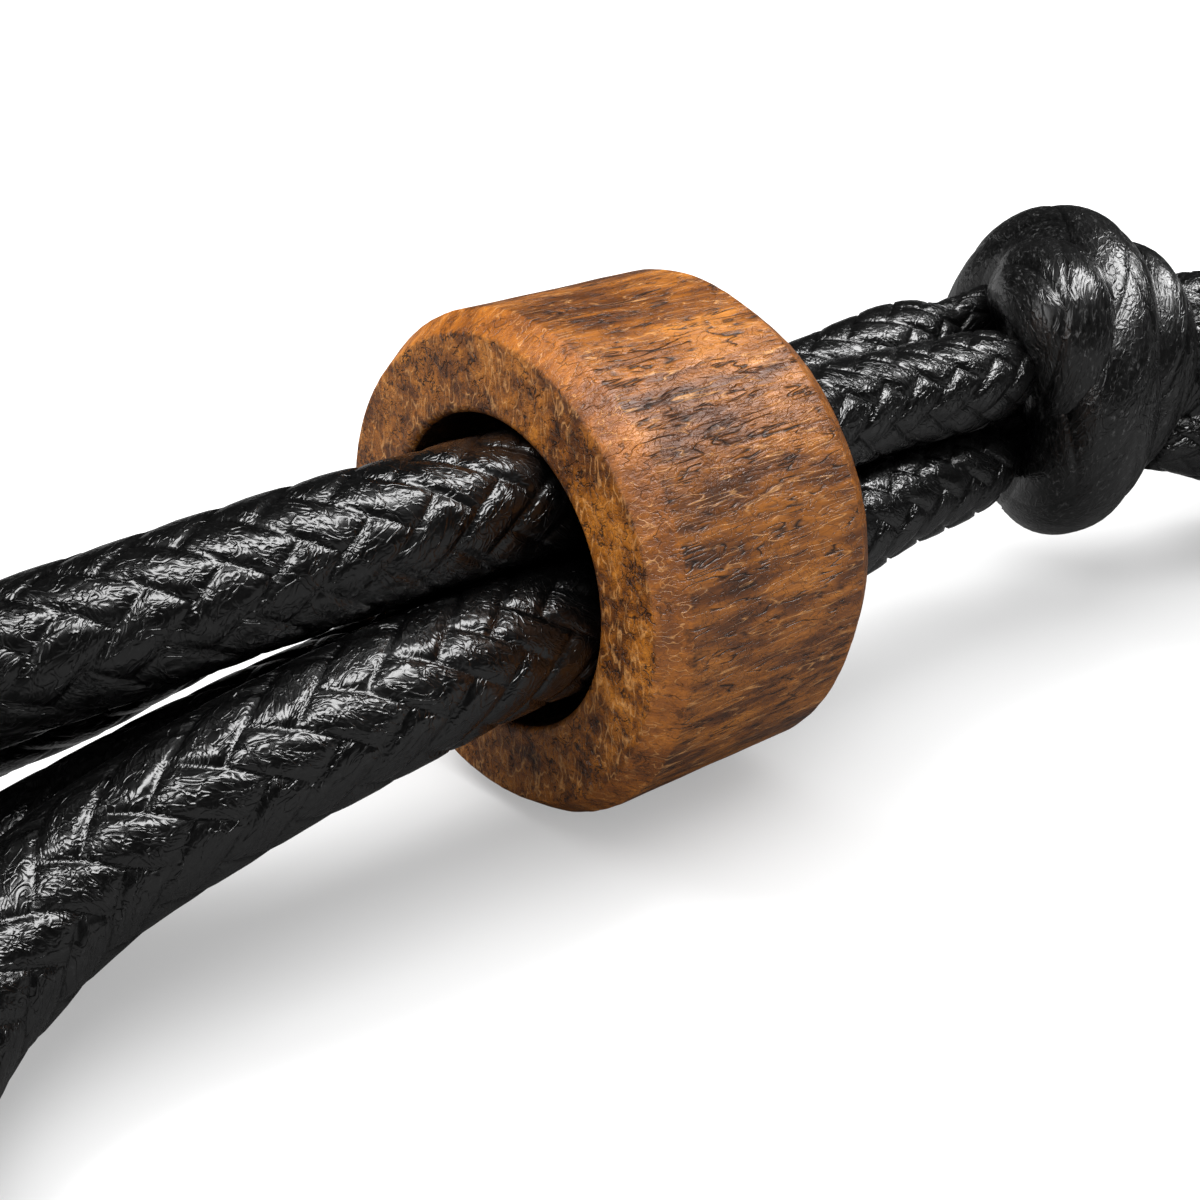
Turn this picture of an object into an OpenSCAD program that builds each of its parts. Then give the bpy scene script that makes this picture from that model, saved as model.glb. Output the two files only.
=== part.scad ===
// A bracelet of two braided faux leather cords. Both go round the wrist side by side, and their four
// ends run back through a wooden sliding bead into a wrapped stopper knot.
// Millimetres, +Z up. It lies on z = 0, with the bead's bore along X and the wrist loop toward -X.

/* [Bead] */
// Outside diameter of the bead
bead_d = 16; // [14:0.5:18]
// Length of the bead along its bore
bead_l = 8.8; // [7:0.2:9.6]
// How far the bead's outer edges are rounded along its length
edge_l = 0.9; // [0.3:0.1:1.4]
// How far the bead's outer edges are rounded across its face
edge_r = 0.6; // [0.2:0.1:1]
// Rounding of the bore's two mouths
mouth_r = 0.3; // [0.1:0.1:0.6]

/* [Cord] */
// Diameter of the braided cord
cord_d = 4; // [3.4:0.1:4]
// Gap between two cords that lie side by side in the bead
cord_gap = 0.06; // [0.04:0.01:0.2]
// Play between the bundle of four strands and the bore
bore_play = 0.06; // [0.04:0.01:0.3]
// Turn of the bundle at the bead's left face, in degrees from straight up toward the front
left_turn = 20; // [10:1:26]
// How much further the bundle is turned at the bead's right face
bundle_twist = 10; // [0:1:20]
// Diameter of the strands between the bead and the knot, whose pull draws them thin
drawn_d = 3.6; // [3.4:0.1:4]
// How much further the bundle is turned there
drawn_twist = 27; // [0:1:40]

/* [Knot] */
// Diameter of the cord where the knot's large first turn is fullest
big_turn_d = 4.6; // [4:0.1:4.8]
// Diameter of the cord where the knot's small second turn is drawn thinnest
small_turn_d = 3; // [2.8:0.1:3.4]
// Diameter of the strands pressed together inside the knot
core_d = 6; // [5.6:0.2:6.4]

/* [Hidden] */

// The bead's middle from the origin, which is under the middle of the whole outline
bead_x = 19.4;

wood = "sienna";
black = [0.09, 0.09, 0.1];

bead_z = bead_d / 2;
bundle_r = (cord_d + cord_gap) / sqrt(2);
bore_d = 2 * (bundle_r + bore_play) + cord_d;
floor_z = cord_d / 2;
arc_steps = 4;

cord_sides = 12;
rings_a_stretch = 3;

// The strands' places in the bundle: a quarter turn each
upper = left_turn;
front = left_turn + 90;
lower = left_turn + 180;
back = left_turn + 270;

// The knot's own frame: its middle, and its axis, which turns toward the front and droops
knot_at = [23.2, 0, 8.9];
knot_axis = unit([0.95, -0.27, -0.16]);
knot_side = unit(cross(knot_axis, [0, 0, 1]));
knot_up = cross(knot_side, knot_axis);

// The wound cord, a row for each place on its way: turns made from the bottom, distance of its
// middle line from the knot's axis, advance along that axis, and fullness from thinnest to fullest
TURN = 0;
REACH = 1;
ADVANCE = 2;
FULLNESS = 3;
winding = [
    [0.0000, 4.0, 0.8, 0.8],
    [0.0625, 4.2, 0.2, 0.9],
    [0.1250, 4.4, -0.3, 0.9],
    [0.2500, 4.0, -0.7, 0.9],
    [0.3125, 4.0, -0.8, 0.7],
    [0.3750, 4.2, -0.4, 0.4],
    [0.4375, 4.3, -0.1, 0.5],
    [0.5000, 4.3, 0.1, 0.8],
    [0.6250, 4.4, 0.3, 0.8],
    [0.7500, 4.4, 0.5, 0.8],
    [1.0000, 3.0, 2.0, 0.5],
    [1.2500, 2.5, 2.8, 0.2],
    [1.5000, 3.9, 2.9, 0],
    [1.7500, 3.0, 3.9, 0.2],
    [2.0000, 2.4, 5.1, 0.3],
];

// The bight in front of it, which comes out from under its large turn and goes over the top
bight = [
    [0.1875, 2.6, -0.9, 0],
    [0.2500, 3.3, -1.5, 0.2],
    [0.3125, 3.9, -2.2, 0.5],
    [0.3750, 4.2, -2.6, 0.7],
    [0.4375, 3.8, -2.2, 0.6],
    [0.5000, 3.0, -1.4, 0.4],
    [0.5625, 2.2, -0.6, 0.2],
    [0.6250, 1.6, 0.2, 0],
];

// Rings of the wound cord in a full turn. It is divided into stretches at the listed rings.
rings_a_turn = 16;
divided = [0, 11, 22, 32];
bight_rings = [3, 10];
core_start = -2;
core_end = 6.9;
ends_start = 7.1;

// Where each strand stops in front of the wound cord, along the bore
upper_stop = 18.2;
front_stop = 19.1;
lower_stop = 19.3;
back_stop = 20.2;

// Between the first two of these places the strands grow thin and come together, and at the third
// they reach the knot. The bundle leaves the bore's axis from the first one on, by so much for each
// millimetre on its way.
leave_bead = 5.5;
drawn_in = 12;
at_knot = 19;
leaning = [0, 0.055, 0.048];

// Shapes and routes, from the bead's middle. A place in the bundle is a turn about the bore.
function unit(v) = v / norm(v);
function along(rows, t, column) = lookup(t, [for (row = rows) [row[TURN], row[column]]]);

function strand_d(x) = lookup(x, [[leave_bead, cord_d], [drawn_in, drawn_d]]);

function turned(x) = lookup(x, [
    [-leave_bead, 0], [leave_bead, bundle_twist], [drawn_in, bundle_twist + drawn_twist / 3],
    [at_knot, bundle_twist + drawn_twist]
]);

function in_bundle(x, place) =
    let (r = (strand_d(x) + cord_gap) / sqrt(2),
         turn = place + turned(x))
    [x, -r * sin(turn), bead_z + r * cos(turn)] + max(x - leave_bead, 0) * leaning;

function by_knot(advance, side, up) =
    knot_at + advance * knot_axis + side * knot_side + up * knot_up;

// A strand through the bead, from its left face to the knot
function through(place, stop) =
    [for (x = [-leave_bead, 0, leave_bead, drawn_in, (drawn_in + at_knot) / 2, stop]) in_bundle(x, place)];

function reversed(list) = [for (i = [len(list) - 1:-1:0]) list[i]];

outer_round = [
    [-11, 3.2, 8.7], [-17, 4.6, 6.7], [-23, 7, 5.2], [-30, 12, 3.6], [-38, 20, 2.3], [-47, 28, 2],
    [-58, 32.9, 2], [-70, 31, 2], [-81, 24, 2], [-88, 12.5, 2], [-90, 0, 2], [-87.5, -12.5, 2],
    [-80.5, -24, 2], [-70, -31, 2], [-58, -33, 2], [-46.6, -29.1, 2], [-36.9, -20.7, 2],
    [-30, -11.5, 2.1], [-25, -4.8, 2.9], [-20.5, -2.7, 4.4], [-16, -3, 6], [-11, -3.2, 6.9],
];

inner_round = [
    [-11, -0.6, 10.5], [-17, 0.5, 9.7], [-23, 3, 8.3], [-30, 7.4, 6.4], [-38, 14.4, 4.3],
    [-47, 22.8, 2.4], [-58, 28.5, 2], [-69, 27, 2], [-78.2, 20.9, 2], [-84.1, 11, 2], [-85.9, 0, 2],
    [-83.6, -11, 2], [-77.6, -21, 2], [-69, -27, 2], [-58, -28.8, 2], [-47.9, -25, 2],
    [-38.7, -16.6, 2], [-32, -6.8, 2], [-27.5, -1, 2], [-23, 1.1, 2.3], [-18, 1.3, 3.5], [-12, 0.9, 4.7],
];

outer_route = concat(reversed(through(back, back_stop)), outer_round, through(front, front_stop));
inner_route = concat(reversed(through(upper, upper_stop)), inner_round, through(lower, lower_stop));

// The four cut ends, from the knot down to the floor
end_out = (cord_d + cord_gap) / 2;
end_routes = [
    [by_knot(ends_start, end_out, end_out), by_knot(9.5, 2.1, 2), [35, -6.8, 8.6],
     [38.5, -10.5, 6.7], [41.5, -14.5, 4.4], [44, -18.5, 2.4], [46, -22, 2]],
    [by_knot(ends_start, -end_out, end_out), by_knot(9.5, -2.1, 2), [36.5, -0.6, 8.4],
     [41, 1.4, 6.6], [45, 3.6, 4.4], [48.7, 6, 2.5], [52, 8.2, 2]],
    [by_knot(ends_start, end_out, -end_out), by_knot(9.5, 2.1, -2.2), [35, -6, 4],
     [39, -8.4, 2.7], [43, -10.8, 2], [47, -13, 2]],
    [by_knot(ends_start, -end_out, -end_out), by_knot(9.5, -2.1, -2.2), [36.5, -2, 3.8],
     [41, -3.4, 2.5], [45.5, -4.4, 2], [50, -5, 2]],
];

// A smooth curve through the points of a route, never lower than a cord on the floor
function between(a, b, c, d, t) =
    (2 * b + (c - a) * t + (2 * a - 5 * b + 4 * c - d) * t * t + (3 * b - a - 3 * c + d) * t * t * t) / 2;

function kept_up(p) = [p[0], p[1], max(p[2], floor_z)];

function smooth(route, steps) =
    let (last = len(route) - 1,
         p = concat([2 * route[0] - route[1]], route, [2 * route[last] - route[last - 1]]))
    concat(
        [for (i = [1:last], k = [0:steps - 1])
            kept_up(between(p[i - 1], p[i], p[i + 1], p[i + 2], k / steps))],
        [route[last]]
    );

// One ring of a tube round the middle line's point i. Its sides start from the side that faces away
// from the direction given as up.
function heading(line, i) =
    unit(line[min(i + 1, len(line) - 1)] - line[max(i - 1, 0)]);

function ring(line, i, d, up) =
    let (ahead = heading(line, i),
         across = unit(cross(ahead, up)),
         above = cross(across, ahead))
    [for (k = [0:cord_sides - 1])
        line[i] + d / 2 * (cos(360 * k / cord_sides) * across + sin(360 * k / cord_sides) * above)];

// A tube along a middle line, with a diameter for each of its points and flat ends
module tube(line, diameters, up) {
    n = cord_sides;
    last = len(line) - 1;
    points = [for (i = [0:last]) each ring(line, i, diameters[i], up)];
    walls = [for (i = [0:last - 1], k = [0:n - 1])
        [i * n + k, i * n + (k + 1) % n, (i + 1) * n + (k + 1) % n, (i + 1) * n + k]];
    start_cap = [for (k = [n - 1:-1:0]) k];
    end_cap = [for (k = [0:n - 1]) last * n + k];
    polyhedron(points, concat(walls, [start_cap, end_cap]), convexity = 8);
}

module cord(route) {
    line = smooth(route, rings_a_stretch);
    diameters = [for (p = line) p[0] < knot_at[0] ? strand_d(p[0]) : cord_d];
    color(black) translate([bead_x, 0, 0]) tube(line, diameters, [0, 0, 1]);
}

// Half of the bead's wall, as an outline beside its axis: flat faces, rounded outer edges and mouths
module wall_outline() {
    half = bead_l / 2;
    outside = bead_d / 2;
    inside = bore_d / 2;
    corner = [for (k = [0:arc_steps]) 90 * k / arc_steps];
    polygon(concat(
        [for (a = corner)
            [outside - edge_r + edge_r * cos(a), half - edge_l + edge_l * sin(a)]],
        [for (a = corner)
            [inside + mouth_r - mouth_r * sin(a), half - mouth_r + mouth_r * cos(a)]],
        [for (a = reversed(corner))
            [inside + mouth_r - mouth_r * sin(a), mouth_r - half - mouth_r * cos(a)]],
        [for (a = reversed(corner))
            [outside - edge_r + edge_r * cos(a), edge_l - half - edge_l * sin(a)]]
    ));
}

module bead() {
    color(wood) translate([bead_x, 0, bead_z]) rotate([0, 90, 0]) rotate_extrude($fn = 96) wall_outline();
}

module outer_cord() {
    cord(outer_route);
}

module inner_cord() {
    cord(inner_route);
}

// One stretch of cord wound as a table says, from one ring to another. The diameter of its first
// ring can be made smaller, to start it inside another stretch.
module stretch(table, first, last, start = 1) {
    steps = [for (k = [first:last]) k / rings_a_turn];
    line = [for (t = steps)
        by_knot(
            along(table, t, ADVANCE),
            along(table, t, REACH) * sin(360 * t),
            -along(table, t, REACH) * cos(360 * t)
        )];
    diameters = [for (t = steps)
        small_turn_d + along(table, t, FULLNESS) * (big_turn_d - small_turn_d)];
    tube(line, [for (i = [0:last - first]) (i == 0 ? start : 1) * diameters[i]], knot_axis);
}

// The wound cord: a large turn, then a small one, drawn in beside it. Its turns are pressed into
// each other, so it is made in stretches that don't meet themselves.
module wound_cord() {
    stretch(winding, divided[0], divided[1]);
    for (i = [2:len(divided) - 1]) {
        stretch(winding, divided[i - 1] - 1, divided[i], start = 0.8);
    }
    stretch(bight, bight_rings[0], bight_rings[1]);
}

// The strands inside the knot, which the winding presses into one mass
module knot_core() {
    tube([for (s = [core_start, core_end]) by_knot(s, 0, 0)], [core_d, core_d], [0, 0, 1]);
}

module knot() {
    color(black) translate([bead_x, 0, 0]) union() {
        wound_cord();
        knot_core();
    }
}

bead();
outer_cord();
inner_cord();
knot();
cord(end_routes[0]);  // cord_end_1
cord(end_routes[1]);  // cord_end_2
cord(end_routes[2]);  // cord_end_3
cord(end_routes[3]);  // cord_end_4
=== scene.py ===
# Looks of a faux leather cord bracelet: the braid of its cords, its wound knot and its wooden bead.
# The pieces are worked out in millimetres from the bead's middle on the floor, with X along the bore
# towards the knot. Floor and lights are in metres, as Blender is. Named angles are in degrees.

import math
from collections import namedtuple

import bpy
import numpy as np
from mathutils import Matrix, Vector


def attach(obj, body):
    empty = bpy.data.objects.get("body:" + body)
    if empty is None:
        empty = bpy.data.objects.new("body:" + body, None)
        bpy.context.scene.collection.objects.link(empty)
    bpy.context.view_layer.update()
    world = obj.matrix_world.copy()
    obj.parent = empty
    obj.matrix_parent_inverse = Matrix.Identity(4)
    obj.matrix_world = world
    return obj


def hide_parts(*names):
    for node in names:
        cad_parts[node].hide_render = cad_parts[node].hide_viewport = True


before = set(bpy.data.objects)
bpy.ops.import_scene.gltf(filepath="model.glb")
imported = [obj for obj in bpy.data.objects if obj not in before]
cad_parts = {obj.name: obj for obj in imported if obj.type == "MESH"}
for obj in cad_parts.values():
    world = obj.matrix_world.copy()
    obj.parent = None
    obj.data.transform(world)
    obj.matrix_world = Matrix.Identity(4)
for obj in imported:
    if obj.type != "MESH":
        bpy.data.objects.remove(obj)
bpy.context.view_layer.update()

MM = 0.001
Z_UP = np.array([0.0, 0.0, 1.0])

# Bead
BEAD_X = 19.4
BEAD_D = 16.0
BEAD_L = 8.8
BEAD_Z = BEAD_D / 2
EDGE_L = 0.9
EDGE_R = 0.6
MOUTH_R = 0.3
# Columns of its mesh, points of the mouth's rounding, and the steps between rows on the chamfer, on the
# other faces and in the bore
AROUND = 360
MOUTH_POINTS = 9
CHAMFER_STEP = 0.11
FACE_STEP = 0.12
BORE_STEP = 0.3
# Relief of the grain, and how far the turned surface sinks in places, each with the steps of its noise
# in a millimetre along the bore and across it
GRAIN_RELIEF = 0.012
GRAIN_STEPS = (0.9, 3.2)
GRAIN_SEED = 11
SUNK = 0.05
SUNK_STEPS = (0.3, 0.375)
SUNK_SEED = 12
# How close to the bore's radius a vertex counts as in the bore
IN_BORE = 0.01

# Cord, and the bundle of its four strands in the bead
CORD_D = 4.0
CORD_GAP = 0.06
BORE_PLAY = 0.06
LEFT_TURN = 20.0
BUNDLE_TWIST = 10.0
BUNDLE_R = (CORD_D + CORD_GAP) / math.sqrt(2)
BORE_R = BUNDLE_R + BORE_PLAY + CORD_D / 2
FLOOR_Z = CORD_D / 2
UPPER, FRONT, LOWER, BACK = (LEFT_TURN + quarter for quarter in (0, 90, 180, 270))
# The cord is a little fuller in front of the bead than in it, as a share of its thickness
PRESSED_AT = [-12, -6, -2]
PRESSED_TO = [1.025, 1.01, 0.99]

# The strands between the bead and the knot, which are drawn thinner, twist further and lean
DRAWN_D = 3.6
DRAWN_TWIST = 27.0
LEAVE_BEAD = 5.5
DRAWN_IN = 12.0
AT_KNOT = 19.0
LEANING = np.array([0, 0.055, 0.048])
UPPER_STOP, FRONT_STOP, LOWER_STOP, BACK_STOP = 18.2, 19.1, 19.3, 20.2
# Their looks reach further, in under the wound cord. Those of the lower strand reach furthest, because
# the wound cord is further off at its side. On the way in they thin to these shares of their thickness.
UNDER_KNOT = 2.2
LOWER_UNDER_KNOT = 4.2
THINNING_AT = [16.2, 17.3, 18.1, 18.7, 19.3]
THINNING_TO = [1, 0.97, 0.88, 0.76, 0.62]

# Knot: a row for each place on the wound cord's way, as turns made, distance from the knot's axis,
# advance along it, and fullness from thinnest to fullest
KNOT_AT = np.array([23.2, 0, 8.9])
WINDING = np.array([
    [0.0000, 4.0, 0.8, 0.8],
    [0.0625, 4.2, 0.2, 0.9],
    [0.1250, 4.4, -0.3, 0.9],
    [0.2500, 4.0, -0.7, 0.9],
    [0.3125, 4.0, -0.8, 0.7],
    [0.3750, 4.2, -0.4, 0.4],
    [0.4375, 4.3, -0.1, 0.5],
    [0.5000, 4.3, 0.1, 0.8],
    [0.6250, 4.4, 0.3, 0.8],
    [0.7500, 4.4, 0.5, 0.8],
    [1.0000, 3.0, 2.0, 0.5],
    [1.2500, 2.5, 2.8, 0.2],
    [1.5000, 3.9, 2.9, 0],
    [1.7500, 3.0, 3.9, 0.2],
    [2.0000, 2.4, 5.1, 0.3],
])
# The bight in front of it, which comes out from under its large turn and goes over the top
BIGHT = np.array([
    [0.1875, 2.6, -0.9, 0],
    [0.2500, 3.3, -1.5, 0.2],
    [0.3125, 3.9, -2.2, 0.5],
    [0.3750, 4.2, -2.6, 0.7],
    [0.4375, 3.8, -2.2, 0.6],
    [0.5000, 3.0, -1.4, 0.4],
    [0.5625, 2.2, -0.6, 0.2],
    [0.6250, 1.6, 0.2, 0],
])
BIG_TURN_D = 4.6
SMALL_TURN_D = 3.0
STEPS_A_TURN = 200
SMOOTHED_OVER = 17
# The strands pressed together inside the knot, from one end of its axis to the other, and their share
# of the full thickness at the first two points and the last two
CORE_START = -2.0
CORE_END = 6.9
CORE_D = 6.0
CORE_POINTS = 12
CORE_TAPER = [0.8, 0.96, 0.96, 0.85]
CORE_SEED = 390
# The cut ends leave the knot here. Their looks start further back inside it, thin, and fill out.
ENDS_START = 7.1
UNDER_WINDING = 3.2
FILLING_AT = [0, UNDER_WINDING, UNDER_WINDING + 1.5]
FILLING_TO = [0.6, 0.8, 1]
ENDS_SEED = 400

# Braid: how many strands run each way, their angle to the cord, where the mesh cuts across each of
# them, how flat they lie, and the relief and the unevenness that they give the cord
Weave = namedtuple("Weave", "strands angle steps fullness relief lumps")
CORD_WEAVE = Weave(8, 38.0, (0.0, 0.07, 0.27, 0.5, 0.73, 0.93), 7, 0.13, 0.018)
KNOT_WEAVE = Weave(5, 30.0, (0.0, 0.04, 0.12, 0.24, 0.37, 0.5, 0.63, 0.76, 0.88, 0.96), 3, 0.12, 0.04)
GIRTH = math.pi * CORD_D
# How far out the strands' crowns reach, as a share of the cord's radius, and how low a vertex may lie
CROWN = 1.015
LEAST_Z = 0.01
# Height of a strand where it dives under, and how much one strand's height and tilt may differ
DIVING_HEIGHT = 0.15
LIFT_RANGE = 0.22
TILT_RANGE = 0.30
# How far the strands stray along the cord, in millimetres, and round it, in turns
STRAY_ALONG = 0.10
STRAY_ROUND = 0.007
# The length of cord for a step of their noise, its steps for the straying and for the lumps, and how
# far off in the noise the straying along the cord and the lumps are read
STRAY_LENGTH = 2.2
STRAY_STEPS = [1.3, 1.3, 1]
LUMP_STEPS = [1.6, 1.6, 1.4]
STRAY_ALONG_OFF = 40
LUMPS_OFF = 80
# How far apart the strands' numbers lie, so that each strand has wrinkles of its own
NUMBERS_OVER = 40

# Lightness of the cord's strands where least, more and most worn, and the roughness of their coat,
# then the same for the wound cord, and the wood's colours
CORD_WORN = (0.0003, 0.0015, 0.010)
CORD_COAT_ROUGHNESS = 0.19
KNOT_WORN = (0.0008, 0.006, 0.06)
KNOT_COAT_ROUGHNESS = 0.22
WOOD_TONES = [
    (0.36, (0.050, 0.016, 0.004)), (0.45, (0.115, 0.034, 0.005)), (0.50, (0.200, 0.062, 0.006)),
    (0.56, (0.310, 0.100, 0.009)), (0.64, (0.460, 0.165, 0.020)),
]
# Lighter orange of the chamfered edges: partly rubbed wear, partly a painted highlight
RUBBED_AND_HIGHLIT_WOOD = (0.42, 0.120, 0.006)
# Dark brown of the real cracks, also used for the painted shade in the bore
CRACK_AND_BORE_SHADE_WOOD = (0.016, 0.007, 0.004)
# Pale of the threads: partly torn fibres, partly painted glints
TORN_AND_GLINT_WOOD = (0.70, 0.34, 0.11)

# Floor, and how light it is to the camera, by a glow of its own, to bounced light and in the gloss
FLOOR_HALF = 3.0
FLOOR_SEEN = 0.48
FLOOR_GLOW = 0.34
FLOOR_BOUNCED = 0.30
FLOOR_MIRRORED = 0.11

# Light of the surroundings on matte surfaces, and in the gloss
WORLD_LIGHT = 1.0
WORLD_MIRRORED = 0.02

# Soft lights: name, place, aim, width, height, watts, whether they light matte surfaces, and glossy
LIGHTS = [
    ("overhead", (0.42, -0.33, 1.03), (0.42, -0.33, 0), 1.85, 0.36, 23.0, False, True),
    ("ceiling", (0.05, -0.15, 1.1), (0, 0, 0), 1.2, 1.2, 12.0, True, False),
    ("back", (-0.2, 0.6, 0.95), (0, 0, 0), 0.6, 0.6, 15.0, True, False),
    ("left", (-1.0, 0.1, 0.4), (0, 0, 0), 0.6, 0.6, 2.2, True, True),
]

# Camera, its place in millimetres and its angles in degrees
CAMERA_FROM_BEAD = (-34.8, -40.19, 29.49)
CAMERA_DOWN = 23.99
CAMERA_LEFT = -40.88
LENS = 54.0
SENSOR = 36.0
CLIP_START = 0.002


def unit(v):
    v = np.asarray(v, float)
    return v / np.linalg.norm(v, axis=-1, keepdims=True)


KNOT_AXIS = unit([0.95, -0.27, -0.16])
KNOT_SIDE = unit(np.cross(KNOT_AXIS, Z_UP))
KNOT_UP = np.cross(KNOT_SIDE, KNOT_AXIS)


# Routes of the cords
def strand_d(x):
    """Thickness of a strand of the bundle at x."""
    return np.interp(x, [LEAVE_BEAD, DRAWN_IN], [CORD_D, DRAWN_D])


def turned(x):
    """How far the bundle has turned at x, in degrees."""
    turns = [0, BUNDLE_TWIST, BUNDLE_TWIST + DRAWN_TWIST / 3, BUNDLE_TWIST + DRAWN_TWIST]
    return np.interp(x, [-LEAVE_BEAD, LEAVE_BEAD, DRAWN_IN, AT_KNOT], turns)


def in_bundle(x, place):
    """Middle of a strand of the bundle at x, by the strand's place round it in degrees."""
    r = (strand_d(x) + CORD_GAP) / math.sqrt(2)
    a = math.radians(place + turned(x))
    start = np.array([x, -r * math.sin(a), BEAD_Z + r * math.cos(a)])
    return start + max(x - LEAVE_BEAD, 0) * LEANING


def through(place, stop, hidden=UNDER_KNOT):
    """A strand's way through the bead and into the knot."""
    on_the_way = (-LEAVE_BEAD, 0, LEAVE_BEAD, DRAWN_IN, (DRAWN_IN + AT_KNOT) / 2, stop + hidden)
    return [in_bundle(x, place) for x in on_the_way]


def by_knot(advance, side, up):
    """A place by the knot: along its axis, to the side of it and above it."""
    return KNOT_AT + advance * KNOT_AXIS + side * KNOT_SIDE + up * KNOT_UP


OUTER_ROUND = [
    [-11, 3.2, 8.7], [-17, 4.6, 6.7], [-23, 7, 5.2], [-30, 12, 3.6], [-38, 20, 2.3], [-47, 28, 2],
    [-58, 32.9, 2], [-70, 31, 2], [-81, 24, 2], [-88, 12.5, 2], [-90, 0, 2], [-87.5, -12.5, 2],
    [-80.5, -24, 2], [-70, -31, 2], [-58, -33, 2], [-46.6, -29.1, 2], [-36.9, -20.7, 2],
    [-30, -11.5, 2.1], [-25, -4.8, 2.9], [-20.5, -2.7, 4.4], [-16, -3, 6], [-11, -3.2, 6.9],
]
INNER_ROUND = [
    [-11, -0.6, 10.5], [-17, 0.5, 9.7], [-23, 3, 8.3], [-30, 7.4, 6.4], [-38, 14.4, 4.3],
    [-47, 22.8, 2.4], [-58, 28.5, 2], [-69, 27, 2], [-78.2, 20.9, 2], [-84.1, 11, 2], [-85.9, 0, 2],
    [-83.6, -11, 2], [-77.6, -21, 2], [-69, -27, 2], [-58, -28.8, 2], [-47.9, -25, 2],
    [-38.7, -16.6, 2], [-32, -6.8, 2], [-27.5, -1, 2], [-23, 1.1, 2.3], [-18, 1.3, 3.5], [-12, 0.9, 4.7],
]
LOWER_WAY = through(LOWER, LOWER_STOP, LOWER_UNDER_KNOT)
OUTER_ROUTE = through(BACK, BACK_STOP)[::-1] + OUTER_ROUND + through(FRONT, FRONT_STOP)
INNER_ROUTE = through(UPPER, UPPER_STOP)[::-1] + INNER_ROUND + LOWER_WAY

END_OUT = (CORD_D + CORD_GAP) / 2
END_ROUTES = [
    [by_knot(ENDS_START, END_OUT, END_OUT), by_knot(9.5, 2.1, 2), [35, -6.8, 8.6],
     [38.5, -10.5, 6.7], [41.5, -14.5, 4.4], [44, -18.5, 2.4], [46, -22, 2]],
    [by_knot(ENDS_START, -END_OUT, END_OUT), by_knot(9.5, -2.1, 2), [36.5, -0.6, 8.4],
     [41, 1.4, 6.6], [45, 3.6, 4.4], [48.7, 6, 2.5], [52, 8.2, 2]],
    [by_knot(ENDS_START, END_OUT, -END_OUT), by_knot(9.5, 2.1, -2.2), [35, -6, 4],
     [39, -8.4, 2.7], [43, -10.8, 2], [47, -13, 2]],
    [by_knot(ENDS_START, -END_OUT, -END_OUT), by_knot(9.5, -2.1, -2.2), [36.5, -2, 3.8],
     [41, -3.4, 2.5], [45.5, -4.4, 2], [50, -5, 2]],
]


# Points of a smooth curve for each stretch of its route
STEPS_A_STRETCH = 30


def smooth(route):
    """A smooth curve through the points of a route, never lower than a cord on the floor."""
    route = np.array(route, float)
    p = np.vstack([2 * route[0] - route[1], route, 2 * route[-1] - route[-2]])
    t = np.arange(STEPS_A_STRETCH)[:, None] / STEPS_A_STRETCH
    curve = [
        (2 * b + (c - a) * t + (2 * a - 5 * b + 4 * c - d) * t**2 + (3 * b - a - 3 * c + d) * t**3) / 2
        for a, b, c, d in zip(p, p[1:], p[2:], p[3:])
    ]
    line = np.vstack([*curve, route[-1:]])
    line[:, 2] = np.maximum(line[:, 2], FLOOR_Z)
    return line


# Noise that is the same on each run, mixed by large odd numbers
ALL_BITS = 0xFFFFFFFF
CELL_MIXERS = np.array([73856093, 19349663, 83492791])
SEED_MIXER = 2654435761
FIRST_MIXER = 2246822519
SECOND_MIXER = 3266489917


def hashed(cells, seed):
    """A number from 0 to 1 for each row of whole numbers."""
    bits = (cells.astype(np.int64) * CELL_MIXERS[: cells.shape[1]]).sum(1)
    bits = (bits + seed * SEED_MIXER) & ALL_BITS
    bits = ((bits ^ (bits >> 15)) * FIRST_MIXER) & ALL_BITS
    bits = ((bits ^ (bits >> 13)) * SECOND_MIXER) & ALL_BITS
    return (bits ^ (bits >> 16)) / ALL_BITS


def noise(points, seed):
    """Smooth noise from -1 to 1 at each point."""
    low = np.floor(points)
    t = points - low
    t = t * t * (3 - 2 * t)
    total = np.zeros(len(points))
    for corner in np.ndindex(*(2,) * points.shape[1]):
        share = np.prod(np.where(corner, t, 1 - t), axis=1)
        total += share * hashed(low + corner, seed)
    return 2 * total - 1


# Meshes
def new_object(name, vertices, faces, look):
    """A mesh object at the origin, from vertices in millimetres from the bead's middle."""
    mesh = bpy.data.meshes.new(name)
    mesh.from_pydata(((vertices + [BEAD_X, 0, 0]) * MM).tolist(), [], faces)
    mesh.shade_smooth()
    mesh.validate()
    mesh.materials.append(look)
    made = bpy.data.objects.new(name, mesh)
    bpy.context.scene.collection.objects.link(made)
    return made


def dress(made, node):
    """Puts a finished piece on the bracelet in place of a CAD node."""
    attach(made, "root")
    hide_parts(node)


def along_line(line, up):
    """Length along a line at each of its points, and the directions across and above it there."""
    lengths = np.concatenate([[0], np.cumsum(np.linalg.norm(np.diff(line, axis=0), axis=1))])
    ahead = unit(np.gradient(line, lengths, axis=0))
    across = unit(np.cross(ahead, up))
    return lengths, across, np.cross(across, ahead)


def rows_at(s, lengths, rows):
    """Places or directions at lengths s, from those at the points of a line."""
    return np.stack([np.interp(s, lengths, rows[:, axis]) for axis in range(3)], 1)


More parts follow.
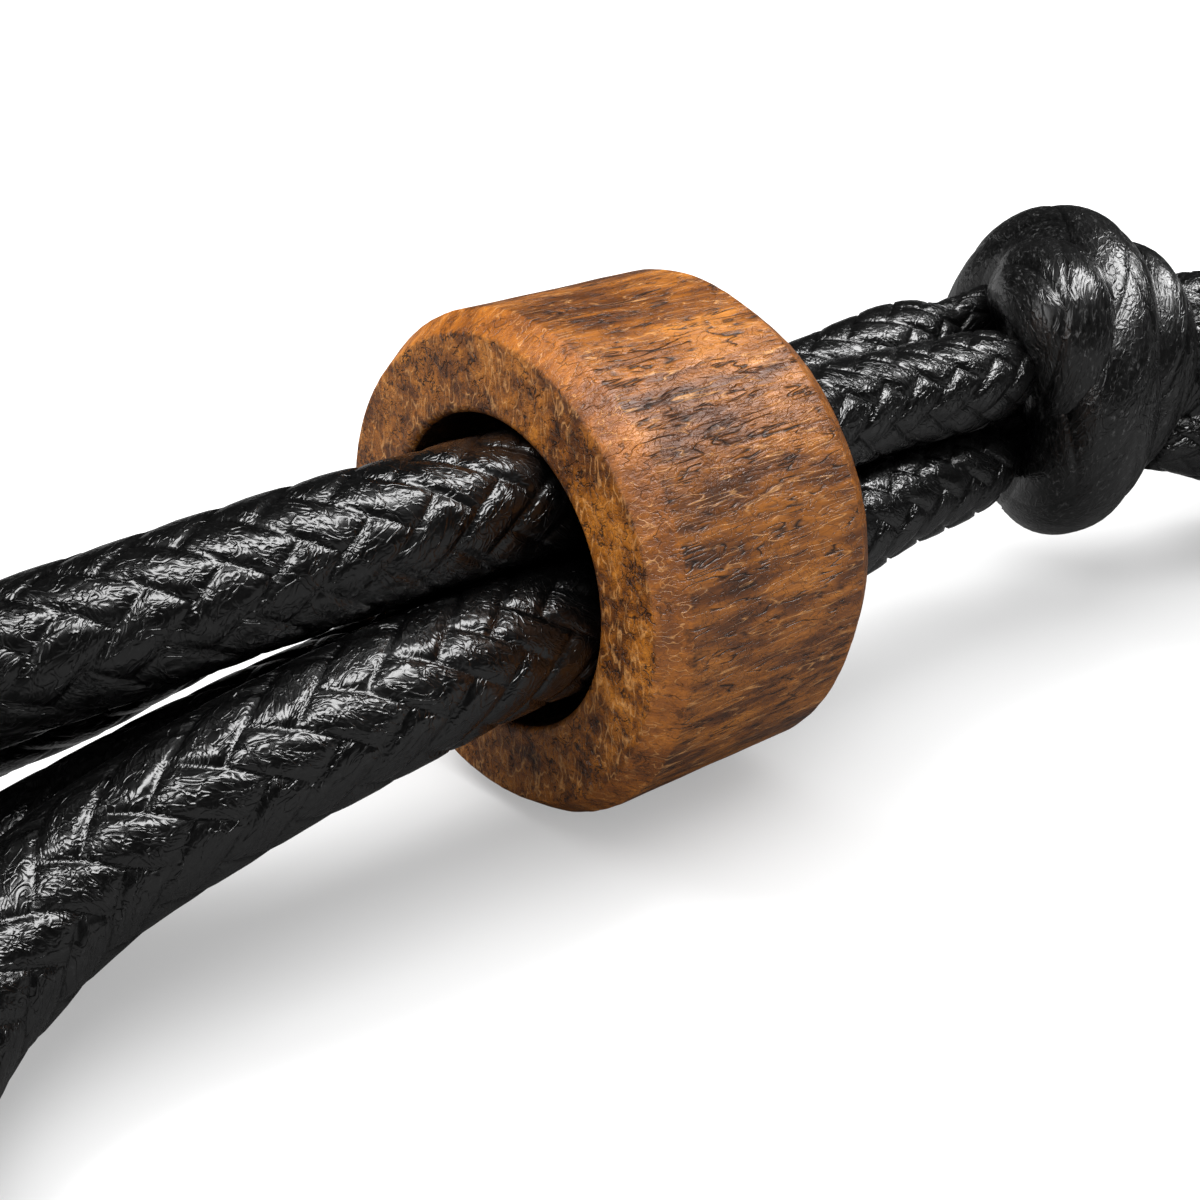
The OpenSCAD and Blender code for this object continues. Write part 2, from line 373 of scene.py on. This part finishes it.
# The braid. Its grid runs with the strands both ways, so that each strand's edges are edges of the
# mesh: a vertex lies where grid lines i and j cross.
def grid_lines(rings, per_ring):
    """The grid lines that cross at each place of each ring round the cord."""
    ring, place = np.meshgrid(np.arange(rings), np.arange(per_ring), indexing="ij")
    twice = 2 * place + ring % 2
    return ((twice + ring) // 2).ravel(), ((twice - ring) // 2).ravel()


def in_strands(lines, weave):
    """Where grid lines lie, counted in strands."""
    n = len(weave.steps)
    return lines // n + np.array(weave.steps)[lines % n]


def float_height(x, y, fullness):
    """Height, from 0 to 1, of a strand where it floats on top: x across it from 0 to 1, and y along
    it from 0 to 2, between the two places where it dives under."""
    side = np.sqrt(np.clip(1 - np.abs(2 * x - 1) ** fullness, 0, 1))
    dive = 1 - np.abs(y - 1) ** fullness
    return side * (DIVING_HEIGHT + (1 - DIVING_HEIGHT) * dive)


def floating(cell_a, cell_b, in_a, in_b):
    """For places in cells where strands cross: which way the upper strand runs, its place across and
    along its float, and the float's own first cell."""
    place = (cell_a + cell_b) % 4
    rising = place < 2
    x = np.where(rising, in_a, in_b)
    y = np.where(rising, place + in_b, place - 2 + in_a)
    own_a = np.where(rising, cell_a, cell_a - (place - 2))
    own_b = np.where(rising, cell_b - place, cell_b)
    return rising, x, y, own_a, own_b


def float_number(own_a, own_b, rising, weave, seed):
    """A number from 0 to 1 for each float, the same on both sides of the seam along the cord."""
    wrap = np.floor_divide(own_a + own_b, 2 * weave.strands) * weave.strands
    return hashed(np.stack([own_a - wrap, own_b - wrap, rising], 1), seed)


def braid_heights(i, j, weave, seed):
    """Height, from 0 to about 1, at each vertex: the lowest of the floats that meet there."""
    n = len(weave.steps)
    a, b = in_strands(i, weave), in_strands(j, weave)
    heights = np.full(len(i), np.inf)
    for back_a, back_b in np.ndindex(2, 2):
        meets = ((i % n == 0) | (back_a == 0)) & ((j % n == 0) | (back_b == 0))
        cell_a, cell_b = i // n - back_a, j // n - back_b
        rising, x, y, own_a, own_b = floating(cell_a, cell_b, a - cell_a, b - cell_b)
        lift = LIFT_RANGE * (float_number(own_a, own_b, rising, weave, seed) - 0.5)
        tilt = TILT_RANGE * (float_number(own_a, own_b, rising, weave, seed + 1) - 0.5) * (x - 0.5)
        height = float_height(x, y, weave.fullness) * (1 + lift + tilt)
        heights = np.where(meets, np.minimum(heights, height), heights)
    return heights


def hand_laid(s, turn, total, seed):
    """Places along and round a cord, moved as in a braid that isn't quite even, and its lumps."""
    circle = np.stack([np.cos(2 * np.pi * turn), np.sin(2 * np.pi * turn), s / STRAY_LENGTH], 1)
    astray_round = noise(circle * STRAY_STEPS, seed + 2)
    astray_along = noise(circle * STRAY_STEPS + STRAY_ALONG_OFF, seed + 3)
    lumps = noise(circle * LUMP_STEPS + LUMPS_OFF, seed + 4)
    return np.clip(s + STRAY_ALONG * astray_along, 0, total), turn + STRAY_ROUND * astray_round, lumps


def braid_faces(s, total, rings, per_ring):
    """Faces of the grid where the cord runs, each from a ring to the second one after it."""
    ring, place = np.meshgrid(np.arange(rings - 2), np.arange(per_ring), indexing="ij")
    ring, place = ring.ravel(), place.ravel()
    odd = ring % 2
    first = ring * per_ring + place
    right = (ring + 1) * per_ring + (place + odd) % per_ring
    left = (ring + 1) * per_ring + (place - 1 + odd) % per_ring
    last = (ring + 2) * per_ring + place
    kept = (s[first] < total) & (s[last] > 0)
    return np.stack([first, right, last, left], 1)[kept]


def strand_places(i, j, advance, weave, seed):
    """For each corner of the faces between grid lines i and i + 1, and j and j + 1: millimetres across
    and along its strand, and the strand's number."""
    n = len(weave.steps)
    a = in_strands(np.stack([i, i + 1, i + 1, i], 1).ravel(), weave)
    b = in_strands(np.stack([j + 1, j + 1, j, j], 1).ravel(), weave)
    cell_a, cell_b = np.repeat(i // n, 4), np.repeat(j // n, 4)
    rising, _, _, own_a, own_b = floating(cell_a, cell_b, a - cell_a, b - cell_b)
    step_s = np.where(rising, -advance / 2, advance / 2)
    step_c = GIRTH / (2 * weave.strands)
    step = np.hypot(step_s, step_c)
    local_s = (a - own_a - (b - own_b)) * advance / 2
    local_c = (a - own_a + (b - own_b)) * step_c
    along = (local_s * step_s + local_c * step_c) / step
    over = (-local_s * step_c + local_c * step_s) / step
    number = float_number(own_a, own_b, rising, weave, seed + 5)
    return np.stack([over, along, number * NUMBERS_OVER], 1)


def braid(line, up, radii, weave, seed):
    """Vertices, faces, strand places of the faces' corners, and heights of a braid along a line."""
    lengths, across, above = along_line(line, up)
    total = lengths[-1]
    advance = GIRTH / (weave.strands * math.tan(math.radians(weave.angle)))
    per_ring = weave.strands * len(weave.steps)
    rings = int(math.ceil(2 * len(weave.steps) * total / advance)) + 3

    i, j = grid_lines(rings, per_ring)
    a, b = in_strands(i, weave), in_strands(j, weave)
    heights = braid_heights(i, j, weave, seed)
    s, turn, lumps = hand_laid((a - b) * advance / 2, (a + b) / (2 * weave.strands), total, seed)

    radius = np.interp(s, lengths, radii) * CROWN
    radius = radius - weave.relief * (1 - heights) + weave.lumps * lumps
    angle = 2 * np.pi * turn[:, None]
    side, top = unit(rows_at(s, lengths, across)), unit(rows_at(s, lengths, above))
    outward = np.cos(angle) * side + np.sin(angle) * top
    vertices = rows_at(s, lengths, line) + radius[:, None] * outward
    vertices[:, 2] = np.maximum(vertices[:, 2], LEAST_Z)

    faces = braid_faces(s, total, rings, per_ring)
    first = faces[:, 0]
    places = strand_places(i[first], j[first] - 1, advance, weave, seed)
    return vertices, faces, places, heights


def capped(vertices, faces):
    """The same mesh with each open rim closed by a fan to a new middle vertex."""
    edges = np.vstack([faces[:, [k, (k + 1) % 4]] for k in range(4)])
    known = {tuple(e) for e in edges.tolist()}
    rim = {e[1]: e[0] for e in known if (e[1], e[0]) not in known}
    faces = faces.tolist()
    vertices = list(vertices)
    while rim:
        start = next(iter(rim))
        loop = [start]
        while rim[loop[-1]] != start:
            loop.append(rim[loop[-1]])
        for v in loop:
            del rim[v]
        middle = len(vertices)
        vertices.append(np.mean([vertices[v] for v in loop], axis=0))
        faces += [[loop[k], loop[(k + 1) % len(loop)], middle] for k in range(len(loop))]
    return np.array(vertices), faces


def braided(name, line, up, radii, weave, seed, look):
    """A braided piece along a line, with the strand places and heights that its material reads."""
    vertices, faces, places, heights = braid(line, up, radii, weave, seed)
    made = new_object(name, *capped(vertices, faces), look)
    mesh = made.data
    strand = np.zeros((len(mesh.loops), 3), np.float32)
    strand[: len(places)] = places
    mesh.attributes.new("strand", "FLOAT_VECTOR", "CORNER").data.foreach_set("vector", strand.ravel())
    crown = np.zeros(len(mesh.vertices), np.float32)
    crown[: len(heights)] = heights
    mesh.attributes.new("crown", "FLOAT", "POINT").data.foreach_set("value", crown)
    return made


# Nodes of the materials
def new_material(name):
    made = bpy.data.materials.new(name)
    made.use_nodes = True
    tree = made.node_tree
    return made, tree, tree.nodes["Principled BSDF"]


def add(tree, kind, values=None, **settings):
    node = tree.nodes.new(kind)
    for key, value in settings.items():
        setattr(node, key, value)
    for key, value in (values or {}).items():
        node.inputs[key].default_value = value
    return node


def join(tree, output, entry):
    tree.links.new(output, entry)


def attribute(tree, name):
    return add(tree, "ShaderNodeAttribute", attribute_name=name)


def grey(level):
    return (level, level, level)


def ramp(tree, factor, stops):
    """A colour ramp, from (place, colour) stops."""
    node = add(tree, "ShaderNodeValToRGB")
    elements = node.color_ramp.elements
    while len(elements) < len(stops):
        elements.new(0.5)
    for element, (place, colour) in zip(elements, stops):
        element.position = place
        element.color = (*colour, 1)
    join(tree, factor, node.inputs["Fac"])
    return node.outputs["Color"]


def scaled(tree, vector, scale):
    node = add(tree, "ShaderNodeVectorMath", operation="MULTIPLY")
    node.inputs[1].default_value = scale
    join(tree, vector, node.inputs[0])
    return node.outputs["Vector"]


def noise_of(tree, vector, scale, detail, roughness, distortion):
    """Noise with a scale of its own along each axis."""
    values = {"Scale": 1.0, "Detail": detail, "Roughness": roughness, "Distortion": distortion}
    node = add(tree, "ShaderNodeTexNoise", values)
    join(tree, scaled(tree, vector, scale), node.inputs["Vector"])
    return node.outputs["Fac"]


def math_of(tree, operation, *values):
    node = add(tree, "ShaderNodeMath", operation=operation)
    for k, value in enumerate(values):
        if isinstance(value, (int, float)):
            node.inputs[k].default_value = value
        else:
            join(tree, value, node.inputs[k])
    return node.outputs["Value"]


def total_of(tree, first, second):
    return math_of(tree, "ADD", first, second)


def product_of(tree, first, second):
    return math_of(tree, "MULTIPLY", first, second)


def rest_of(tree, value):
    return math_of(tree, "SUBTRACT", 1, value)


def ridges(tree, vector, scale, width, detail, roughness, distortion):
    """0 along thin winding lines, and 1 between them."""
    level = noise_of(tree, vector, scale, detail, roughness, distortion)
    away = math_of(tree, "ABSOLUTE", math_of(tree, "SUBTRACT", level, 0.5))
    return ramp(tree, away, [(0.0, grey(0)), (width, grey(1))])


def mixed(tree, factor, first, second, blend="MIX"):
    """The second colour over the first, by a factor."""
    node = add(tree, "ShaderNodeMix", data_type="RGBA", blend_type=blend)
    for value, entry in ((factor, "Factor"), (first, "A"), (second, "B")):
        if isinstance(value, (int, float)):
            node.inputs[entry].default_value = value
        elif isinstance(value, tuple):
            node.inputs[entry].default_value = (*value, 1)
        else:
            join(tree, value, node.inputs[entry])
    return node.outputs["Result"]


def bump(tree, height, strength, distance, before=None):
    """The normal of a relief, whose full height is given in millimetres, over the normal before it."""
    node = add(tree, "ShaderNodeBump", {"Strength": strength, "Distance": distance * MM})
    join(tree, height, node.inputs["Height"])
    if before is not None:
        join(tree, before, node.inputs["Normal"])
    return node.outputs["Normal"]


# Materials of the cord and the bead
def braid_material(name, worn_levels, coat_roughness):
    """Waxed black faux leather strands: fine wrinkles along and across each, under a worn gloss, and
    darker in the grooves between strands with dust and painted shade.
    """
    made, tree, shader = new_material(name)
    strand = attribute(tree, "strand").outputs["Vector"]
    crown = attribute(tree, "crown").outputs["Fac"]

    waves = noise_of(tree, strand, (1.3, 0.8, 1), 1.0, 0.5, 0.5)
    swirls = ridges(tree, strand, (2.4, 1.7, 1), 0.12, 1.0, 0.5, 1.7)
    creases = ridges(tree, strand, (1.8, 0.8, 1), 0.03, 2.0, 0.5, 1.0)
    fine = noise_of(tree, strand, (8.0, 5.0, 1), 2.0, 0.6, 1.0)

    normal = bump(tree, waves, 0.6, 0.06)
    normal = bump(tree, swirls, 0.8, 0.012, normal)
    normal = bump(tree, creases, 0.9, 0.012, normal)
    normal = bump(tree, fine, 0.3, 0.004, normal)
    join(tree, normal, shader.inputs["Normal"])
    join(tree, normal, shader.inputs["Coat Normal"])

    worn_at = (0.35, 0.60, 0.75)
    worn = ramp(tree, fine, [(place, grey(level)) for place, level in zip(worn_at, worn_levels)])
    # Dust and painted shade: the base colour darkens to 0.15 of itself in the grooves between strands,
    # where the crown is low
    groove_dust_and_shade = ramp(tree, crown, [(0.0, grey(0.15)), (0.5, grey(1))])
    join(tree, mixed(tree, 1, worn, groove_dust_and_shade, "MULTIPLY"), shader.inputs["Base Color"])
    gloss = ramp(tree, waves, [(0.35, grey(0.30)), (0.65, grey(0.45))])
    join(tree, gloss, shader.inputs["Roughness"])

    shader.inputs["IOR"].default_value = 1.55
    shader.inputs["Specular IOR Level"].default_value = 0.2
    shader.inputs["Coat Weight"].default_value = 1.0
    shader.inputs["Coat Roughness"].default_value = coat_roughness
    shader.inputs["Coat IOR"].default_value = 1.6
    return made


def wood_tone(tree, mottle, streaks, fibres):
    """The wood's brown, from dark streaks to orange ones."""
    tone = total_of(tree, product_of(tree, mottle, 0.42), product_of(tree, streaks, 0.40))
    tone = total_of(tree, tone, product_of(tree, fibres, 0.18))
    return ramp(tree, tone, WOOD_TONES)


def wood_cracks(tree, place, broken, rubbed_and_highlit):
    """Where the wood has dark broken cracks along its grain and fine crazing, less so on the chamfered
    edges, which are rubbed and carry a painted highlight.
    """
    cracks = ridges(tree, place, (0.45, 2.6, 2.6), 0.040, 2.0, 0.55, 0.6)
    crazing = ridges(tree, place, (2.2, 3.4, 3.4), 0.035, 1.0, 0.5, 1.2)
    opened = ramp(tree, broken, [(0.44, grey(1)), (0.54, grey(0))])
    opened = product_of(tree, rest_of(tree, cracks), opened)
    crazed = product_of(tree, rest_of(tree, crazing), 0.35)
    dark = math_of(tree, "MAXIMUM", opened, crazed)
    return product_of(tree, dark, rest_of(tree, product_of(tree, rubbed_and_highlit, 0.4)))


def torn_fibres_and_glints(tree, place, broken, end):
    """Where the wood has pale threads, partly torn fibres and partly painted glints on the grain's ridges:
    along its grain, and across the bead's two ends.
    """
    threads = ridges(tree, place, (0.5, 3.6, 3.6), 0.024, 1.0, 0.5, 0.2)
    end_threads = ridges(tree, place, (1.0, 3.2, 1.2), 0.045, 1.0, 0.5, 0.3)
    threads = mixed(tree, end, threads, end_threads)
    torn_and_glint = ramp(tree, broken, [(0.44, grey(0)), (0.60, grey(0.6))])
    return product_of(tree, rest_of(tree, threads), torn_and_glint)


def wood_material(name):
    """Oiled brown wood with its grain along the bead's bore: mottled, with dark streaks, broken cracks
    and pale threads that are partly torn fibres and partly painted glints, a lighter orange on the
    edges that is partly rubbed wear and partly a painted highlight, and painted shade in the bore."""
    made, tree, shader = new_material(name)
    in_metres = add(tree, "ShaderNodeTexCoord").outputs["Object"]
    place = scaled(tree, in_metres, (1 / MM, 1 / MM, 1 / MM))
    zones = add(tree, "ShaderNodeSeparateXYZ")
    join(tree, attribute(tree, "zones").outputs["Vector"], zones.inputs[0])
    rubbed_and_highlit, end, bore = zones.outputs

    mottle = noise_of(tree, place, (0.24, 0.50, 0.50), 2.0, 0.5, 0.8)
    streaks = noise_of(tree, place, (0.28, 2.0, 2.0), 3.0, 0.6, 0.5)
    fibres = noise_of(tree, place, (1.8, 8.0, 8.0), 3.0, 0.6, 0.8)
    broken = noise_of(tree, place, (0.9, 1.5, 1.5), 2.0, 0.6, 0.0)
    dark = wood_cracks(tree, place, broken, rubbed_and_highlit)
    pale = torn_fibres_and_glints(tree, place, broken, end)

    base = wood_tone(tree, mottle, streaks, fibres)
    # The chamfered edges turn a lighter orange: partly rubbed wear, partly a painted highlight
    base = mixed(tree, product_of(tree, rubbed_and_highlit, 0.25), base, RUBBED_AND_HIGHLIT_WOOD)
    base = mixed(tree, dark, base, CRACK_AND_BORE_SHADE_WOOD)
    # Pale threads: partly torn fibres, partly painted glints on the grain's ridges
    base = mixed(tree, pale, base, TORN_AND_GLINT_WOOD)
    # Painted shade: the bore's wood is darkened most of the way to the dark crack colour
    base = mixed(tree, product_of(tree, bore, 0.85), base, CRACK_AND_BORE_SHADE_WOOD)
    join(tree, base, shader.inputs["Base Color"])

    normal = bump(tree, streaks, 0.5, 0.10)
    normal = bump(tree, fibres, 0.8, 0.035, normal)
    normal = bump(tree, dark, 0.9, -0.04, normal)
    normal = bump(tree, pale, 0.7, 0.03, normal)
    join(tree, normal, shader.inputs["Normal"])
    gloss = ramp(tree, fibres, [(0.35, grey(0.45)), (0.65, grey(0.32))])
    join(tree, gloss, shader.inputs["Roughness"])
    shader.inputs["Specular IOR Level"].default_value = 0.6
    return made


# The bead
def points_between(start, end, step):
    """Even points between two, about a step apart and without the two."""
    count = max(int(np.hypot(*np.subtract(end, start)) / step), 2)
    return [np.add(start, np.subtract(end, start) * k / count) for k in range(1, count)]


def bead_outline():
    """The bead's section, as places along the bore and distances from its axis."""
    half, outside = BEAD_L / 2, BEAD_D / 2
    chamfer = points_between((half - EDGE_L, outside), (half, outside - EDGE_R), CHAMFER_STEP)
    # The chamfer's first and last points make way for two that ease it at each side
    edge = [
        (half - EDGE_L * 1.06, outside), (half - EDGE_L * 0.97, outside - EDGE_R * 0.03),
        *chamfer[1:-1],
        (half - EDGE_L * 0.05, outside - EDGE_R * 0.95), (half, outside - EDGE_R * 1.08),
    ]
    mouth = [(half - MOUTH_R + MOUTH_R * math.cos(t), BORE_R + MOUTH_R - MOUTH_R * math.sin(t))
             for t in np.radians(np.linspace(0, 90, MOUTH_POINTS))]
    right = edge + points_between(edge[-1], mouth[0], FACE_STEP) + mouth
    left = [(-x, r) for x, r in reversed(right)]
    bore = points_between(right[-1], left[0], BORE_STEP)
    outer_face = points_between(left[-1], right[0], FACE_STEP)
    return np.array(right + bore + left + outer_face)


def bead_noise(x, t, steps, seed):
    """Noise over the bead, by places x along its bore and angles t round it."""
    along, across = steps
    y, z = BEAD_D / 2 * np.cos(t) * across, BEAD_D / 2 * np.sin(t) * across
    return noise(np.stack([x * along, y, z], 1), seed)


def bead_vertices(outline):
    """The section turned round the bore, with the outside and its edges sunk and grooved a little."""
    x, r = np.repeat(outline, AROUND, axis=0).T
    t = np.tile(np.linspace(0, 2 * np.pi, AROUND, endpoint=False), len(outline))
    grain = bead_noise(x, t, GRAIN_STEPS, GRAIN_SEED)
    hollow = bead_noise(x, t, SUNK_STEPS, SUNK_SEED)
    outer = r > BEAD_D / 2 - EDGE_R * 1.2
    r = r + np.where(outer, GRAIN_RELIEF * grain + SUNK * hollow - SUNK, 0)
    return np.stack([x, r * np.sin(t), BEAD_Z + r * np.cos(t)], 1)


def bead_faces(rows):
    row, column = np.meshgrid(np.arange(rows), np.arange(AROUND), indexing="ij")
    row, column = row.ravel(), column.ravel()
    this_row, next_row = row * AROUND, (row + 1) % rows * AROUND
    next_column = (column + 1) % AROUND
    corners = [this_row + column, next_row + column, next_row + next_column, this_row + next_column]
    return np.stack(corners, 1).tolist()


def bead_zones(outline):
    """For each vertex, 0 or 1 for the edges, which are rubbed and given a painted highlight, for the ends,
    and for the bore, which is given painted shade.
    """
    along, out = np.abs(outline[:, 0]), outline[:, 1]
    rubbed_and_highlit = (along > BEAD_L / 2 - EDGE_L) & (out > BEAD_D / 2 - EDGE_R * 1.02)
    end = (along > BEAD_L / 2 - MOUTH_R) & ~rubbed_and_highlit
    bore = out < BORE_R + IN_BORE
    return np.repeat(np.stack([rubbed_and_highlit, end, bore], 1).astype(np.float32), AROUND, axis=0)


def wood_bead(look):
    outline = bead_outline()
    made = new_object("bead_wood", bead_vertices(outline), bead_faces(len(outline)), look)
    zones = bead_zones(outline)
    made.data.attributes.new("zones", "FLOAT_VECTOR", "POINT").data.foreach_set("vector", zones.ravel())
    return made


# The cords and the knot
def cord_radii(line):
    """Radius of a cord at each point of its line: pressed by the bead, drawn thin behind it, thinner still
    on the way to the knot's middle, and full past it."""
    x = line[:, 0]
    pressed = np.interp(x, PRESSED_AT, PRESSED_TO)
    thinning = np.interp(x, THINNING_AT, THINNING_TO)
    return np.where(x < KNOT_AT[0], strand_d(x) * thinning, CORD_D) / 2 * pressed


def long_cord(name, route, seed, look):
    line = smooth(route)
    return braided(f"{name}_braid", line, Z_UP, cord_radii(line), CORD_WEAVE, seed, look)


def wound_line(table):
    """The middle line and the radii of cord wound round the knot as a table says."""
    first, last = table[0, 0], table[-1, 0]
    t = np.linspace(first, last, int((last - first) * STEPS_A_TURN) + 1)
    window = np.hanning(SMOOTHED_OVER + 2)[1:-1]
    reach, ahead, fullness = (
        np.convolve(np.pad(np.interp(t, table[:, 0], table[:, k]), SMOOTHED_OVER // 2, "edge"),
                    window / window.sum(), "valid")
        for k in (1, 2, 3)
    )
    line = np.array([
        by_knot(go, far * math.sin(2 * math.pi * k), -far * math.cos(2 * math.pi * k))
        for k, far, go in zip(t, reach, ahead)
    ])
    return line, (SMALL_TURN_D + fullness * (BIG_TURN_D - SMALL_TURN_D)) / 2


def wound_cord(name, table, seed, look):
    line, radii = wound_line(table)
    return braided(name, line, KNOT_AXIS, radii, KNOT_WEAVE, seed, look)


def knot_core(look):
    line = np.array([by_knot(go, 0, 0) for go in np.linspace(CORE_START, CORE_END, CORE_POINTS)])
    tapered_at = [0, 1, CORE_POINTS - 2, CORE_POINTS - 1]
    radii = CORE_D / 2 * np.interp(np.arange(CORE_POINTS), tapered_at, CORE_TAPER)
    return braided("knot_core_braid", line, Z_UP, radii, CORD_WEAVE, CORE_SEED, look)


def cord_end(number, route, look):
    line = smooth([route[0] - UNDER_WINDING * KNOT_AXIS] + route)
    far = np.linalg.norm(line - line[0], axis=1)
    radii = CORD_D / 2 * np.interp(far, FILLING_AT, FILLING_TO)
    return braided(f"cord_end_{number}_braid", line, Z_UP, radii, CORD_WEAVE, ENDS_SEED + number, look)


# Floor, lights and camera
def floor_material(name):
    """Pale with a glow of its own to the camera, and darker to bounced light and in the gloss."""
    made, tree, seen = new_material(name)
    seen.inputs["Base Color"].default_value = (*grey(FLOOR_SEEN), 1)
    seen.inputs["Roughness"].default_value = 0.9
    seen.inputs["Specular IOR Level"].default_value = 0.1
    seen.inputs["Emission Color"].default_value = (1, 1, 1, 1)
    seen.inputs["Emission Strength"].default_value = FLOOR_GLOW

    rays = add(tree, "ShaderNodeLightPath").outputs
    dim = add(tree, "ShaderNodeBsdfDiffuse")
    dim_colour = mixed(tree, rays["Is Glossy Ray"], grey(FLOOR_BOUNCED), grey(FLOOR_MIRRORED))
    join(tree, dim_colour, dim.inputs["Color"])
    either = add(tree, "ShaderNodeMixShader")
    join(tree, rays["Is Camera Ray"], either.inputs[0])
    join(tree, dim.outputs["BSDF"], either.inputs[1])
    join(tree, seen.outputs["BSDF"], either.inputs[2])
    join(tree, either.outputs["Shader"], tree.nodes["Material Output"].inputs["Surface"])
    return made


def make_floor():
    mesh = bpy.data.meshes.new("floor")
    corners = [(x * FLOOR_HALF, y * FLOOR_HALF, 0) for x, y in ((-1, -1), (1, -1), (1, 1), (-1, 1))]
    mesh.from_pydata(corners, [], [(0, 1, 2, 3)])
    mesh.materials.append(floor_material("pale_floor"))
    floor = bpy.data.objects.new("floor", mesh)
    bpy.context.scene.collection.objects.link(floor)


def make_surroundings():
    """White surroundings that light matte surfaces more than they mirror in glossy ones."""
    world = bpy.data.worlds.new("studio")
    world.use_nodes = True
    tree = world.node_tree
    background = tree.nodes["Background"]
    background.inputs["Color"].default_value = (1, 1, 1, 1)
    in_gloss = add(tree, "ShaderNodeLightPath").outputs["Is Glossy Ray"]
    strength = add(tree, "ShaderNodeMapRange", {"To Min": WORLD_LIGHT, "To Max": WORLD_MIRRORED})
    join(tree, in_gloss, strength.inputs["Value"])
    join(tree, strength.outputs["Result"], background.inputs["Strength"])
    bpy.context.scene.world = world


def softbox(name, place, aim, width, height, watts, matte, glossy):
    """A rectangular soft light aimed at a place."""
    light = bpy.data.lights.new(name, "AREA")
    light.shape = "RECTANGLE"
    light.size, light.size_y = width, height
    light.energy = watts
    made = bpy.data.objects.new(name, light)
    bpy.context.scene.collection.objects.link(made)
    made.location = place
    made.rotation_mode = "QUATERNION"
    made.rotation_quaternion = Vector(np.subtract(aim, place)).to_track_quat("-Z", "Y")
    made.visible_diffuse, made.visible_glossy = matte, glossy


def make_camera():
    data = bpy.data.cameras.new("camera")
    data.sensor_width = SENSOR
    data.lens = LENS
    data.clip_start = CLIP_START
    camera = bpy.data.objects.new("camera", data)
    bpy.context.scene.collection.objects.link(camera)
    camera.location = [(c + d) * MM for c, d in zip(CAMERA_FROM_BEAD, (BEAD_X, 0, 0))]
    camera.rotation_euler = (math.radians(90 - CAMERA_DOWN), 0, math.radians(CAMERA_LEFT))
    bpy.context.scene.camera = camera


cord_look = braid_material("braided_faux_leather", CORD_WORN, CORD_COAT_ROUGHNESS)
knot_look = braid_material("wound_faux_leather", KNOT_WORN, KNOT_COAT_ROUGHNESS)
dress(wood_bead(wood_material("oiled_wood")), "bead")
for name, route, seed in (("outer_cord", OUTER_ROUTE, 100), ("inner_cord", INNER_ROUTE, 200)):
    dress(long_cord(name, route, seed, cord_look), name)
for name, table, seed in (("knot_braid", WINDING, 300), ("knot_bight_braid", BIGHT, 350)):
    dress(wound_cord(name, table, seed, knot_look), "knot")
dress(knot_core(cord_look), "knot")
for number, route in enumerate(END_ROUTES, 1):
    dress(cord_end(number, route, cord_look), f"cord_end_{number}")

make_floor()
make_surroundings()
for light in LIGHTS:
    softbox(*light)
make_camera()
bpy.context.scene.view_settings.view_transform = "Standard"
